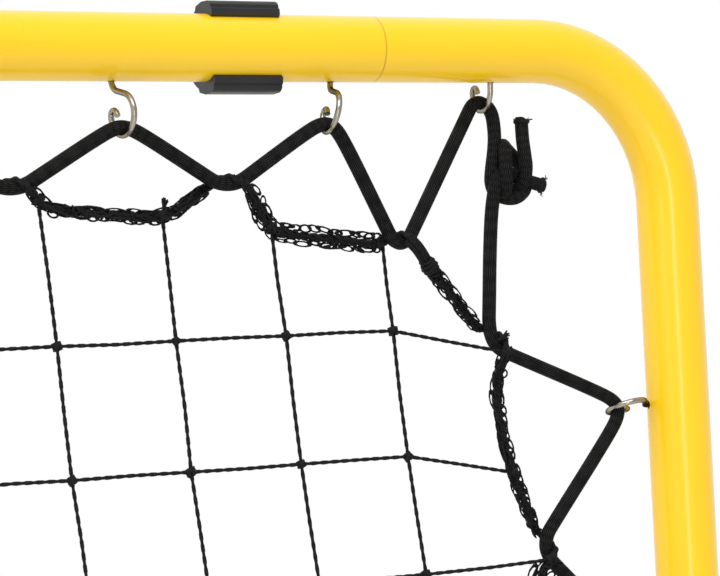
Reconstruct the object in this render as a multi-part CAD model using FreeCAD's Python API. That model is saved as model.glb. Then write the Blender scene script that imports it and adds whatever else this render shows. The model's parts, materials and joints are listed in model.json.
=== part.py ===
"""Pitch back rebounder: a square net frame on a folding rear bow, all in steel tube.

Millimetres, +Z up, X across the frame, the net faces -Y. The origin is on the ground, below
the middle of the whole object. Frame places are given as (x, s, off): x across, s up along the
leaning side rail from the bottom bar's centre line, and off behind the frame's centre plane.
"""
import FreeCAD, Part
import math
import os

Vector = FreeCAD.Vector
os.makedirs("parts", exist_ok=True)

# ---------------------------------------------------------------- driving dimensions
frame_width = 944.5         # between the side rails' centre lines
frame_height = 944.5        # between the top and bottom bars' centre lines, along the rail
frame_lean = 6.0            # degrees, top leaning back from upright
tube_radius = 12.5
tube_wall = 1.2
bend_radius = 60.0          # centre line of every tube corner
ground_clearance = 4.0      # from the ground to the underside of the tubes
corner_stub = 133.0         # corner centre to the joint in the top and bottom bars
bow_stub = 100.0            # the same on the rear bow
spigot_length = 40.0        # reduced tube end inside the next tube
spigot_clearance = 0.05

pivot_height = 200.0        # of the bow's pivot, along the side rail
pivot_setback = 30.0        # of the pivot behind the frame's centre plane
bow_tail = 12.0             # tube beyond the pivot
bow_spread = 20.0           # degrees the bow opens beyond its resting angle

plate_thickness = 4.0
plate_margin = 12.0         # metal outside the slot's centre line
plate_foot = 45.0           # weld length below the pivot
slot_radius = 60.0
slot_clearance = 0.3
slot_margin = 1.5           # degrees of slot beyond each end of the travel

bolt_radius = 4.0
running_clearance = 0.05
washer_thickness = 0.8
washer_gap = 0.1
side_gap = 0.3              # between a turning piece and the piece it turns against
bush_radius = 6.0
nut_across_flats = 13.0
nut_height = 7.0
bolt_head_height = 5.3
bolt_tail = 1.1
coach_head_radius = 9.0
coach_head_height = 4.0
coach_head_rounding = 2.8
flat_washer_radius = 11.0
flat_washer_height = 1.6

knob_radius = 22.0
knob_height = 13.0
knob_hub_radius = 10.0
knob_hub_height = 6.0
knob_lobes = 6
knob_groove_radius = 8.0
knob_groove_centre = 26.0
knob_bore_depth = 13.0

screw_radius = 2.0
screw_head_radius = 4.0
screw_head_height = 2.6
screw_head_rounding = 1.6
screw_reach = 6.0

pad_place = 196.0           # foot pads, from the frame's corner
rear_pad_place = 260.0
pad_length = 46.0
pad_width = 34.0
pad_wall = 3.0
pad_clearance = 0.1
pad_chamfer = 3.0
plug_cap = 2.0             # of the bow's end plugs
plug_stem = 4.0

clip_place = 188.8          # storage clips, from the frame's corner
clip_length = 28.0
clip_wall = 3.2
clip_back_of_lips = -5.0    # where the jaw's round wall gives way to its lips
clip_mouth = 10.2           # half the height of the opening between the lips
clip_rest_reach = 22.0      # of the rest for the folded bow, behind the bar's centre line
clip_rest_half = 8.2
clip_rest_gap = 0.3

# Outline of a clip's lip (behind the frame's plane, above the bar's centre line): the edge that
# grips the tube, the ribs on its front, its top, and the step down to the jaw's round wall.
clip_lip = [
    (-6.4, 10.4), (-7.6, 11.7), (-7.4, 13.7), (-6.6, 14.3), (-6.5, 15.4), (-5.4, 16.4),
    (-4.2, 16.9), (1.0, 17.1), (5.8, 16.0), (6.4, 14.6), (6.4, 10.8), (-4.5, 10.8),
]

hook_wire_radius = 1.1
hook_hole_radius = 1.7
rail_hook_slant = 16.0      # degrees that the side rails' hooks point behind the frame's plane
hook_crook_radius = 3.2
hook_crook_depth = 7.6      # crook's centre line inside the tube, from the tube's centre
hook_neck_turn = 75.0
hook_necks = {"long": (5.0, 5.0), "side": (3.2, 7.6)}   # a neck's bend and its straight run
hook_ring_radius = 7.6
hook_long_turn = 255.0
hook_short_turn = 180.0
hook_curl_radius = 1.9
hook_curl_turn = 145.0
hook_curl_run = 1.6
hook_long_shank = 11.6      # depth at which a long hook's neck starts
hook_short_shank = 15.0     # depth at which a short hook's ring starts

cord_radius = 2.7           # elastic lacing
border_radius = 2.2
net_thickness = 1.5

# Hooks along half of the top bar: place from the corner, kind of neck, turn about its own shank
# and swing towards the middle of the frame (degrees).
top_hooks = [
    (80.6, "short", 94.0, 2.0),
    (151.1, "long", 96.0, 15.0),
    (240.7, "long", 81.0, 0.0),
    (333.3, "long", 97.0, 2.0),
    (425.9, "long", 85.0, -1.0),
]
# Hooks along half of a side rail, the same values.
side_hooks = [
    (141.1, "side", 75.0, 10.0),
    (235.7, "side", 97.0, 2.0),
    (330.3, "side", 84.0, 0.0),
    (424.9, "side", 94.0, 0.0),
]

# Lacing through one quarter of the frame: from the middle of the top bar, past the corner, to
# the middle of the side rail, with two points over each hook's ring and two in each crook. A
# point is the distance in from the side rail's centre line, the distance in from the top bar's
# centre line, and the distance behind the frame's plane.
lacing_quarter = [
    (468.2, 53.0, 0.0),
    (427.9, 28.6, -5.7), (422.3, 28.6, -5.7),
    (383.6, 51.5, 0.0), (375.6, 51.5, 0.0),
    (337.4, 28.7, -5.6), (331.8, 28.5, -5.6),
    (284.6, 50.6, 0.1), (276.6, 50.2, -0.1),
    (242.6, 28.7, -5.6), (237.0, 28.6, -5.6),
    (199.8, 50.3, 0.0), (191.8, 50.1, 0.0),
    (158.7, 27.2, -5.9), (153.1, 28.7, -5.9),
    (127.6, 73.6, -0.6), (121.2, 73.8, 0.6),
    (84.0, 16.1, 6.8), (75.9, 19.4, 7.6),
    (87.2, 108.5, 0.4), (84.2, 115.5, -0.4),
    (29.4, 138.7, -0.5), (28.2, 144.2, -0.5),
    (66.1, 189.8, 0.0), (65.9, 196.2, 0.0),
    (28.9, 234.4, -0.8), (28.7, 240.0, -0.8),
    (62.0, 279.0, 0.0), (62.0, 287.0, 0.0),
    (28.9, 326.7, -0.8), (28.8, 332.3, -0.8),
    (60.0, 373.6, 0.0), (60.0, 381.6, 0.0),
    (28.9, 422.6, -0.9), (28.9, 428.2, -0.9),
    (59.0, 468.2, 0.0),
]
# The lacing's own end is at this point of the first quarter: the hook above the knot.
lacing_end_point = 18

# The knitted border passes behind one leg of each crook of the lacing, over the crook and in
# front of its other leg. A crook is its distances in from the rail and the bar, the direction
# that it opens in (degrees, 90 towards the bar) and the rise of its legs (degrees).
top_middle_crook = (472.25, 53.0, 90.0, 25.0)
side_middle_crook = (59.0, 472.25, 0.0, 31.0)
crook_half_width = 4.0
crook_pass_start = 1.0      # along a leg from the crook to where the border starts down it
crook_pass_below = 7.0      # along a leg from the crook to where the border crosses it
crook_pass_inset = 1.0      # of the crossing, inside the leg's own line
border_offset = 7.3         # between the two centre lines over the crook
border_behind = 6.7         # between them where the border passes behind the first leg
border_before = 8.3         # and where it passes in front of the second

# Between crooks the border sags to the net. Each entry is a crook and the sag after it.
border_quarter = [
    (top_middle_crook, [(448.0, 65.0), (426.0, 68.0), (404.0, 64.0)]),
    ((379.6, 51.5, 90.0, 25.0), [(356.0, 64.0), (333.0, 67.0), (306.0, 63.5)]),
    ((280.6, 50.4, 90.0, 24.0), [(258.0, 62.5), (240.0, 65.5), (220.0, 63.0)]),
    ((195.8, 50.2, 90.0, 26.0), [(176.0, 68.0), (156.0, 72.0), (142.0, 74.0)]),
    ((124.4, 73.7, 90.0, 51.0), [(106.0, 89.0), (98.0, 99.0)]),
    ((85.7, 112.0, 30.0, 31.0), [(83.5, 134.0), (82.0, 155.0), (75.0, 173.0)]),
    ((66.0, 193.0, 0.0, 37.0), [(75.0, 216.0), (77.5, 236.0), (74.0, 259.0)]),
    ((62.0, 283.0, 0.0, 33.0), [(73.0, 307.0), (75.5, 330.0), (72.0, 353.0)]),
    ((60.0, 377.6, 0.0, 32.0), [(71.0, 401.0), (73.5, 424.0), (70.0, 448.0)]),
    (side_middle_crook, []),
]

# Edge of the net itself in the same quarter, just inside the border's sags.
net_quarter = [
    (455.0, 66.0),
    (426.0, 71.0),
    (379.0, 66.0),
    (333.0, 70.5),
    (282.0, 65.0),
    (240.0, 68.0),
    (196.0, 67.0),
    (178.0, 73.5),
    (156.0, 75.0),
    (128.0, 82.0),
    (106.0, 95.5),
    (92.0, 118.0),
    (87.3, 135.0),
    (85.2, 155.0),
    (78.5, 175.0),
    (77.5, 200.0),
    (80.5, 236.0),
    (76.0, 283.0),
    (78.5, 330.0),
    (74.0, 377.0),
    (76.5, 424.0),
    (73.0, 455.0),
]

# The lacing's two ends meet in a knot below the hook nearest the top right corner.
knot_place = (-72.3, -47.5, 4.5)    # from that corner's centre lines
knot_size = (20.4, 22.4, 15.0)
knot_rounding = 5.5
knot_entry = (-78.6, -41.0, 6.0)
knot_exit = (-79.5, -53.0, 4.6)
knot_upper_tail = ((-66.6, -42.0, 3.0), (-65.4, -28.0, 2.5))
knot_lower_tail = ((-64.5, -50.5, 2.5), (-57.5, -53.0, -0.5))

# ---------------------------------------------------------------- worked-out values
inner_radius = tube_radius - tube_wall
spigot_radius = inner_radius - spigot_clearance
bar_height = tube_radius + ground_clearance
bow_length = frame_height - pivot_height
bow_half_width = frame_width / 2 - plate_thickness / 2 - 2 * washer_gap - washer_thickness - tube_radius
leg_inner_side = bow_half_width - tube_radius

lean = math.radians(frame_lean)
up_rail = Vector(0, math.sin(lean), math.cos(lean))
behind = Vector(0, math.cos(lean), -math.sin(lean))
across = Vector(1, 0, 0)

pivot_y = pivot_height * up_rail.y + pivot_setback * behind.y
pivot_z = bar_height + pivot_height * up_rail.z + pivot_setback * behind.z
bow_angle = -math.asin((pivot_z - bar_height) / bow_length)
fold_travel = 90.0 - frame_lean - math.degrees(bow_angle)
along_bow = Vector(0, math.cos(bow_angle), math.sin(bow_angle))
above_bow = Vector(0, -math.sin(bow_angle), math.cos(bow_angle))

front_edge = -max(tube_radius, pad_width / 2)
rear_edge = pivot_y + bow_length * along_bow.y + max(tube_radius, pad_width / 2)
base_y = -(front_edge + rear_edge) / 2
frame_base = Vector(0, base_y, bar_height)
pivot_base = frame_base + up_rail * pivot_height + behind * pivot_setback


def on_frame(x, s, off=0.0):
    """Point of the net frame: across, up the rail, behind the frame's plane."""
    return frame_base + across * x + up_rail * s + behind * off


def on_bow(x, out, above=0.0):
    """Point of the rear bow: across, out from the pivot line, above the bow's plane."""
    return pivot_base + across * x + along_bow * out + above_bow * above


def quarter_point(point, side, end):
    """A quarter's (in from rail, in from bar, off) in one of the frame's four quarters."""
    inward, down, off = point
    x = side * (frame_width / 2 - inward)
    s = frame_height / 2 + end * (frame_height / 2 - down)
    return on_frame(x, s, off)


def round_the_frame(quarter):
    """One quarter's points repeated round the frame, from the middle of the top bar."""
    loop = []
    for side, end in ((1, 1), (1, -1), (-1, -1), (-1, 1)):
        points = [quarter_point(point, side, end) for point in quarter]
        loop += points if side == end else points[::-1]
    return loop


# ---------------------------------------------------------------- tubes and cords
def cylinder(start, direction, length, radius):
    return Part.makeCylinder(radius, length, start, direction)


def rod_between(start, end, radius):
    return cylinder(start, end - start, (end - start).Length, radius)


def rounded_route(points, radii, closed=False):
    """Straight runs joined by tangent arcs, as a wire and the arcs' radii."""
    count = len(points)
    corners = range(count) if closed else range(1, count - 1)
    cuts = {}
    for i in corners:
        before = points[i - 1] - points[i]
        after = points[(i + 1) % count] - points[i]
        half_turn = (math.pi - before.getAngle(after)) / 2
        shorter = min(before.Length, after.Length)
        radius = min(0.45 * shorter / math.tan(half_turn), radii[i])
        cut = radius * math.tan(half_turn)
        to_before = before.normalize()
        to_after = after.normalize()
        middle = (to_before + to_after).normalize()
        depth = radius / math.cos(half_turn) - radius
        cuts[i] = (points[i] + to_before * cut, points[i] + middle * depth,
                   points[i] + to_after * cut, radius)
    edges = []
    last = cuts[count - 1][2] if closed else points[0]
    for i in corners:
        start, middle, end, radius = cuts[i]
        edges.append(Part.LineSegment(last, start).toShape())
        edges.append(Part.Arc(start, middle, end).toShape())
        last = end
    finish = cuts[0][0] if closed else points[-1]
    if not closed:
        edges.append(Part.LineSegment(last, finish).toShape())
    return Part.Wire(edges), [cuts[i][3] for i in corners]


def swept_round(wire, radius):
    """A round solid along a wire, started square to its first edge."""
    first = wire.Edges[0]
    start = first.valueAt(first.FirstParameter)
    circle = Part.Wire(Part.makeCircle(radius, start, first.tangentAt(first.FirstParameter)))
    return wire.makePipeShell([circle], True, False)


def swept_tube(points, radii, outer, inner):
    wire = rounded_route(points, radii)[0]
    return swept_round(wire, outer).cut(swept_round(wire, inner))


def straight_tube(start, end, outer, inner):
    return rod_between(start, end, outer).cut(rod_between(start, end, inner))


def report_cord(name, solid, wire, radius, radii):
    expected = math.pi * radius ** 2 * wire.Length
    print(name, "length", round(wire.Length, 1), "volume / expected", round(solid.Volume / expected, 4),
          "radii", round(min(radii), 1), "to", round(max(radii), 1))


def both_sides(make):
    """A piece made for the right side (1) and for the left (-1)."""
    return [make(1), make(-1)]


# ---------------------------------------------------------------- hooks
def ring_hook(root, inward, front, along, kind, turn, swing):
    """Wire hook through a tube's wall: a crook inside, a neck, and a ring ending in a curl.

    root is on the tube's centre line, inward points into the frame, front out of its face and
    along is the way that the hook swings.
    """
    swing = math.radians(swing)
    hole = root + inward * tube_radius
    down = inward * math.cos(swing) + along * math.sin(swing)
    sideways = along * math.cos(swing) - inward * math.sin(swing)
    turn = math.radians(turn)
    out = front * math.sin(turn) + sideways * math.cos(turn)

    def place(a, d):
        return hole + out * a + down * (d - tube_radius)

    if kind == "short":
        moves = [(hook_crook_radius, 90.0), hook_short_shank - hook_crook_depth - hook_crook_radius,
                 (hook_ring_radius, hook_short_turn)]
    else:
        neck_radius, neck_run = hook_necks[kind]
        moves = [(hook_crook_radius, 90.0), hook_long_shank - hook_crook_depth - hook_crook_radius,
                 (neck_radius, -hook_neck_turn), neck_run,
                 (hook_ring_radius, hook_long_turn)]
    moves += [(hook_curl_radius, hook_curl_turn), hook_curl_run]

    a, d, heading = -hook_crook_radius, hook_crook_depth, 0.0
    edges = []
    for move in moves:
        start = place(a, d)
        if isinstance(move, tuple):
            radius, bend = move
            side = math.copysign(1.0, bend)
            centre_a = a - side * radius * math.sin(heading)
            centre_d = d + side * radius * math.cos(heading)
            middle = heading + math.radians(bend) / 2
            heading = heading + math.radians(bend)
            half = place(centre_a + side * radius * math.sin(middle),
                         centre_d - side * radius * math.cos(middle))
            a = centre_a + side * radius * math.sin(heading)
            d = centre_d - side * radius * math.cos(heading)
            edges.append(Part.Arc(start, half, place(a, d)).toShape())
        else:
            a += move * math.cos(heading)
            d += move * math.sin(heading)
            edges.append(Part.LineSegment(start, place(a, d)).toShape())
    return swept_round(Part.Wire(edges), hook_wire_radius)


def bar_hook_roots():
    """(x, kind, turn, swing towards +X) for each hook of the top or bottom bar."""
    places = []
    for side in (1, -1):
        for distance, kind, turn, swing in top_hooks:
            x = side * (frame_width / 2 - distance)
            if side == 1:
                places.append((x, kind, turn, -swing))
            else:
                places.append((x, kind, 180.0 - turn, swing))
    return places


def rail_hook_roots():
    """(s, kind, turn, swing up the rail) for each hook of a side rail."""
    places = []
    for end in (1, -1):
        for distance, kind, turn, swing in side_hooks:
            s = frame_height / 2 + end * (frame_height / 2 - distance)
            if end == 1:
                places.append((s, kind, turn, -swing))
            else:
                places.append((s, kind, 180.0 - turn, swing))
    return places


def bar_hooks(s, inward):
    return [ring_hook(on_frame(x, s), inward, behind * -1, across, kind, turn, swing)
            for x, kind, turn, swing in bar_hook_roots()]


def rail_hook_directions(side):
    """Into the frame and out of its face, for the hooks of a side rail."""
    slant = math.radians(rail_hook_slant)
    inward = across * -side
    return (inward * math.cos(slant) + behind * math.sin(slant),
            inward * math.sin(slant) - behind * math.cos(slant))


def rail_hooks(side):
    x = side * frame_width / 2
    inward, front = rail_hook_directions(side)
    return [ring_hook(on_frame(x, s), inward, front, up_rail, kind, turn, swing)
            for s, kind, turn, swing in rail_hook_roots()]


def bar_holes(s, inward):
    return [cylinder(on_frame(place[0], s), inward, tube_radius + 1, hook_hole_radius)
            for place in bar_hook_roots()]


def rail_holes(side):
    x = side * frame_width / 2
    inward = rail_hook_directions(side)[0]
    return [cylinder(on_frame(x, place[0]), inward, tube_radius + 1, hook_hole_radius)
            for place in rail_hook_roots()]


# ---------------------------------------------------------------- frame tubes
joint_x = frame_width / 2 - corner_stub
screw_x = joint_x - spigot_length / 2


def spigot(start, end):
    """Reduced tube end with a short plug of full wall where it meets the tube."""
    direction = end - start
    direction.normalize()
    root = straight_tube(start - direction * tube_wall * 2, start, tube_radius, spigot_radius - tube_wall)
    return root.fuse(straight_tube(start, end, spigot_radius, spigot_radius - tube_wall))


def frame_screw_places():
    return [(side * screw_x, s) for s in (0.0, frame_height) for side in (1, -1)]


def frame_screw_holes(clearance):
    return [cylinder(on_frame(x, s, tube_radius - screw_reach), behind, screw_reach + 1,
                     screw_radius + clearance) for x, s in frame_screw_places()]


def side_rail(side):
    x = side * frame_width / 2
    joint = side * joint_x
    corners = [on_frame(joint, frame_height), on_frame(x, frame_height),
               on_frame(x, 0.0), on_frame(joint, 0.0)]
    rail = swept_tube(corners, [bend_radius] * 4, tube_radius, inner_radius)
    for s in (0.0, frame_height):
        rail = rail.fuse(spigot(on_frame(joint, s), on_frame(joint - side * spigot_length, s)))
    holes = rail_holes(side) + bar_holes(frame_height, up_rail * -1) + bar_holes(0.0, up_rail)
    holes += frame_screw_holes(running_clearance)
    return rail.cut(holes)


def cross_bar(s, inward):
    bar = straight_tube(on_frame(-joint_x, s), on_frame(joint_x, s), tube_radius, inner_radius)
    return bar.cut(bar_holes(s, inward) + frame_screw_holes(running_clearance))


def pan_screw(seat, direction):
    """Self-tapping screw driven against direction, its head on seat."""
    shank = cylinder(seat - direction * screw_reach, direction, screw_reach, screw_radius)
    head = cylinder(seat, direction, screw_head_height, screw_head_radius)
    rim = head.Edges[0] if head.Edges[0].CenterOfMass.distanceToPoint(seat) > 1 else head.Edges[2]
    return shank.fuse(head.makeFillet(screw_head_rounding, [rim]))


def frame_screws():
    return [pan_screw(on_frame(x, s, tube_radius), behind) for x, s in frame_screw_places()]


# ---------------------------------------------------------------- pivot plates and fasteners
def plate_point(side, angle, radius):
    """Point in a pivot plate's mid plane: angle from straight behind the frame, up the rail."""
    x = side * frame_width / 2
    radians = math.radians(angle)
    return on_frame(x, pivot_height + radius * math.sin(radians),
                    pivot_setback + radius * math.cos(radians))


rest_angle = math.degrees(bow_angle) + frame_lean
slot_start = rest_angle - bow_spread - slot_margin
slot_end = rest_angle + fold_travel + slot_margin
slot_half_width = bolt_radius + slot_clearance
plate_slack = math.degrees(plate_margin / slot_radius)


def flat_piece(points, thickness):
    """A flat outline in a plane across X, made solid with its middle on that plane."""
    face = Part.Face(Part.makePolygon(points + points[:1]))
    solid = face.extrude(across * thickness)
    solid.translate(across * (-thickness / 2))
    return solid


def sector(side, start, end, radius, thickness):
    """A pie slice about the pivot, with a true arc for its rim."""
    centre = plate_point(side, 0.0, 0.0)
    first = plate_point(side, start, radius)
    middle = plate_point(side, (start + end) / 2, radius)
    last = plate_point(side, end, radius)
    edges = [Part.LineSegment(centre, first).toShape(), Part.Arc(first, middle, last).toShape(),
             Part.LineSegment(last, centre).toShape()]
    solid = Part.Face(Part.Wire(edges)).extrude(across * thickness)
    solid.translate(across * (-thickness / 2))
    return solid


def across_hole(centre, thickness, radius):
    return cylinder(centre - across * (thickness / 2), across, thickness, radius)


def angle_plate(side):
    x = side * frame_width / 2
    pie = sector(side, slot_start - plate_slack, slot_end + plate_slack,
                 slot_radius + plate_margin, plate_thickness)
    boss = across_hole(plate_point(side, 0.0, 0.0), plate_thickness, plate_margin)
    top = pivot_height + slot_radius + plate_margin
    web = flat_piece([on_frame(x, pivot_height - plate_foot, 0.0),
                      on_frame(x, pivot_height - plate_foot, tube_radius + plate_margin / 2),
                      on_frame(x, pivot_height - plate_margin, pivot_setback),
                      on_frame(x, top, pivot_setback),
                      on_frame(x, top, 0.0)], plate_thickness)
    plate = pie.fuse([boss, web])
    deep = plate_thickness * 2
    slot = sector(side, slot_start, slot_end, slot_radius + slot_half_width, deep)
    slot = slot.cut(across_hole(plate_point(side, 0.0, 0.0), deep * 2, slot_radius - slot_half_width))
    ends = [across_hole(plate_point(side, angle, slot_radius), deep, slot_half_width)
            for angle in (slot_start, slot_end)]
    bolt_hole = across_hole(plate_point(side, 0.0, 0.0), deep, bolt_radius + running_clearance)
    rail = rod_between(on_frame(x, 0.0), on_frame(x, frame_height), tube_radius)
    return plate.cut([slot, bolt_hole, rail] + ends).removeSplitter()


def hexagon(centre, direction, height, across_flats):
    """Hexagonal block across X from centre, outwards along direction."""
    reach = across_flats / math.sqrt(3)
    points = [centre + up_rail * (reach * math.cos(math.radians(60 * i)))
              + behind * (reach * math.sin(math.radians(60 * i))) for i in range(6)]
    return Part.Face(Part.makePolygon(points + points[:1])).extrude(direction * height)


def pivot_point(side, x_inside_plate):
    """On the pivot line, a distance inside the plate's middle."""
    return pivot_base + across * (side * (frame_width / 2 - x_inside_plate))


washer_start = plate_thickness / 2 + washer_gap
nut_washer_start = frame_width / 2 - leg_inner_side + side_gap
nut_start = nut_washer_start + flat_washer_height
pivot_bolt_end = nut_start + nut_height + bolt_tail


def pivot_bolt(side):
    outward = across * side
    head = hexagon(pivot_point(side, -plate_thickness / 2), outward, bolt_head_height, nut_across_flats)
    return head.fuse(rod_between(pivot_point(side, -plate_thickness / 2),
                                 pivot_point(side, pivot_bolt_end), bolt_radius))


def ring(start, end, outer, inner):
    return rod_between(start, end, outer).cut(rod_between(start, end, inner))


def pivot_nut(side):
    nut = hexagon(pivot_point(side, nut_start), across * -side, nut_height, nut_across_flats)
    return nut.cut(rod_between(pivot_point(side, 0.0), pivot_point(side, pivot_bolt_end + 1), bolt_radius))


def nut_washer(side):
    return ring(pivot_point(side, nut_washer_start), pivot_point(side, nut_start),
                flat_washer_radius, bolt_radius)


def pivot_washer(side):
    return ring(pivot_point(side, washer_start), pivot_point(side, washer_start + washer_thickness),
                flat_washer_radius, bush_radius + running_clearance)


def pivot_bush(side):
    return ring(pivot_point(side, washer_start), pivot_point(side, nut_washer_start - washer_gap),
                bush_radius, bolt_radius + running_clearance)


# ---------------------------------------------------------------- rear bow
bow_joint_x = bow_half_width - bow_stub
bow_screw_x = bow_joint_x - spigot_length / 2


def clamp_point(side, x_inside_plate):
    """On the clamp bolt's line, a distance inside the plate's middle."""
    return pivot_point(side, x_inside_plate) + along_bow * slot_radius


def bow_screw_holes(clearance):
    return [cylinder(on_bow(side * bow_screw_x, bow_length - tube_radius - 1), along_bow,
                     screw_reach + 1, screw_radius + clearance) for side in (1, -1)]


def bow_leg(side):
    x = side * bow_half_width
    joint = side * bow_joint_x
    corners = [on_bow(x, -bow_tail), on_bow(x, bow_length), on_bow(joint, bow_length)]
    leg = swept_tube(corners, [bend_radius] * 3, tube_radius, inner_radius)
    leg = leg.fuse(spigot(on_bow(joint, bow_length), on_bow(joint - side * spigot_length, bow_length)))
    pivot_hole = rod_between(pivot_point(side, 0.0), pivot_point(side, nut_start),
                             bush_radius + running_clearance)
    clamp_hole = rod_between(clamp_point(side, 0.0), clamp_point(side, nut_start),
                             bolt_radius + running_clearance)
    return leg.cut([pivot_hole, clamp_hole] + bow_screw_holes(running_clearance))


def bow_crossbar():
    bar = straight_tube(on_bow(-bow_joint_x, bow_length), on_bow(bow_joint_x, bow_length),
                        tube_radius, inner_radius)
    return bar.cut(bow_screw_holes(running_clearance))


def bow_screws():
    return [pan_screw(on_bow(side * bow_screw_x, bow_length - tube_radius), along_bow * -1)
            for side in (1, -1)]


def end_plug(side):
    x = side * bow_half_width
    cap = cylinder(on_bow(x, -bow_tail), along_bow * -1, plug_cap, tube_radius)
    stem = cylinder(on_bow(x, -bow_tail), along_bow, plug_stem, inner_radius - running_clearance)
    return cap.fuse(stem)


def clamp_bolt(side):
    outside = -plate_thickness / 2 - washer_gap
    head = cylinder(clamp_point(side, outside), across * side, coach_head_height, coach_head_radius)
    rims = [edge for edge in head.Edges if abs(edge.CenterOfMass.x) > abs(clamp_point(side, outside).x) + 1]
    head = head.makeFillet(coach_head_rounding, rims[:1])
    knob_seat = frame_width / 2 - leg_inner_side + side_gap
    end = clamp_point(side, knob_seat + knob_bore_depth - 1)
    return head.fuse(rod_between(clamp_point(side, outside), end, bolt_radius))


def clamp_washer(side):
    return ring(clamp_point(side, washer_start), clamp_point(side, washer_start + washer_thickness),
                flat_washer_radius, bolt_radius + running_clearance)


def clamp_knob(side):
    seat = frame_width / 2 - leg_inner_side + side_gap
    hub = rod_between(clamp_point(side, seat), clamp_point(side, seat + knob_hub_height), knob_hub_radius)
    grip = rod_between(clamp_point(side, seat + knob_hub_height),
                       clamp_point(side, seat + knob_hub_height + knob_height), knob_radius)
    grooves = []
    for i in range(knob_lobes):
        turn = math.radians(360 * i / knob_lobes)
        shift = (along_bow * math.cos(turn) + above_bow * math.sin(turn)) * knob_groove_centre
        grooves.append(rod_between(clamp_point(side, seat) + shift,
                                   clamp_point(side, seat + knob_hub_height + knob_height + 1) + shift,
                                   knob_groove_radius))
    bore = rod_between(clamp_point(side, seat - 1), clamp_point(side, seat + knob_bore_depth),
                       bolt_radius + running_clearance)
    return grip.cut(grooves).fuse(hub).cut(bore)


# ---------------------------------------------------------------- feet and storage clips
def foot_pad(centre):
    """Sleeve round a cross tube, with a flat sole on the ground."""
    half = across * (pad_length / 2)
    sleeve = rod_between(centre - half, centre + half, tube_radius + pad_clearance + pad_wall)
    corner = Vector(centre.x - pad_length / 2, centre.y - pad_width / 2, 0.0)
    sole = Part.makeBox(pad_length, pad_width, bar_height, corner)
    sole = sole.makeChamfer(pad_chamfer, [e for e in sole.Edges if abs(e.CenterOfMass.z - bar_height) < 0.01
                                  and abs(e.CenterOfMass.y - centre.y) > 1])
    bore = rod_between(centre - half * 1.1, centre + half * 1.1, tube_radius + pad_clearance)
    return sleeve.fuse(sole).cut(bore)


def front_pads():
    return both_sides(lambda side: foot_pad(on_frame(side * (frame_width / 2 - pad_place), 0.0)))


def rear_pads():
    return both_sides(lambda side: foot_pad(on_bow(side * (frame_width / 2 - rear_pad_place), bow_length)))


clip_bore = tube_radius + pad_clearance


def clip_solid(x, outline):
    """An outline of (behind, above the bar's centre line) places, as long as a clip."""
    points = [on_frame(x, frame_height + above, off) for off, above in outline]
    return flat_piece(points, clip_length)


def clip_block(x, low_off, high_off, half_height):
    return clip_solid(x, [(low_off, -half_height), (high_off, -half_height),
                          (high_off, half_height), (low_off, half_height)])


def storage_clip(side):
    """Jaw snapped over the top bar from behind, with a rest for the folded bow at its back."""
    x = side * (frame_width / 2 - clip_place)
    half = across * (clip_length / 2)
    bar = on_frame(x, frame_height)
    folded = on_frame(x, frame_height, pivot_setback)
    wall = clip_bore + clip_wall
    jaw = rod_between(bar - half, bar + half, wall)
    jaw = jaw.cut(clip_block(x, -wall - 1, clip_back_of_lips, wall + 1))
    lips = [clip_solid(x, [(off, end * above) for off, above in clip_lip]) for end in (1, -1)]
    body = jaw.fuse(lips + [clip_block(x, tube_radius, clip_rest_reach, clip_rest_half)])
    bores = [rod_between(bar - half * 1.1, bar + half * 1.1, clip_bore),
             rod_between(folded - half * 1.1, folded + half * 1.1, tube_radius + clip_rest_gap)]
    return body.cut([clip_block(x, -wall - 1, 0.0, clip_mouth)] + bores)


# ---------------------------------------------------------------- lacing, border and net
top_right_corner = on_frame(frame_width / 2, frame_height)


def from_corner(place):
    x, s, off = place
    return top_right_corner + across * x + up_rail * s + behind * off


def lacing_points():
    """The lacing from the knot, through the nearest hook and round the frame, to the knot."""
    loop = round_the_frame(lacing_quarter)
    order = loop[lacing_end_point::-1] + loop[:lacing_end_point:-1]
    return [from_corner(knot_entry)] + order + [from_corner(knot_exit)]


def lacing_cord():
    points = lacing_points()
    wire, radii = rounded_route(points, [tube_radius] * len(points))
    cord = swept_round(wire, cord_radius)
    report_cord("lacing", cord, wire, cord_radius, radii)
    return cord


def lacing_knot():
    """The knot's outer shape, with the cord's two short ends standing out of it."""
    wide, tall, deep = knot_size
    middle = from_corner(knot_place)
    low = middle - across * (wide / 2) - up_rail * (tall / 2) - behind * (deep / 2)
    outline = [low, low + across * wide, low + across * wide + up_rail * tall, low + up_rail * tall]
    block = Part.Face(Part.makePolygon(outline + outline[:1])).extrude(behind * deep)
    block = block.makeFillet(knot_rounding, block.Edges)
    tails = [rod_between(from_corner(start), from_corner(end), cord_radius)
             for start, end in (knot_upper_tail, knot_lower_tail)]
    return block.fuse(tails)


def crook_pass(crook):
    """Four points of the border: behind the first leg, twice over the crook, before the second."""
    inward, down, opening, rise = crook
    opening, rise = math.radians(opening), math.radians(rise)
    centre = Vector(inward, down, 0.0)
    open_way = Vector(-math.cos(opening), -math.sin(opening), 0.0)
    travel = Vector(-math.sin(opening), math.cos(opening), 0.0)

    def beside_leg(side, distance, over, off):
        point = centre + travel * (side * (crook_half_width + distance * math.cos(rise)))
        return point + open_way * (distance * math.sin(rise) + over) + Vector(0, 0, off)

    near = border_offset * math.cos(math.radians(45))
    return [beside_leg(-1, crook_pass_below, -crook_pass_inset, border_behind),
            beside_leg(-1, crook_pass_start, near, near),
            beside_leg(1, crook_pass_start, near, -near),
            beside_leg(1, crook_pass_below, -crook_pass_inset, -border_before)]


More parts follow.
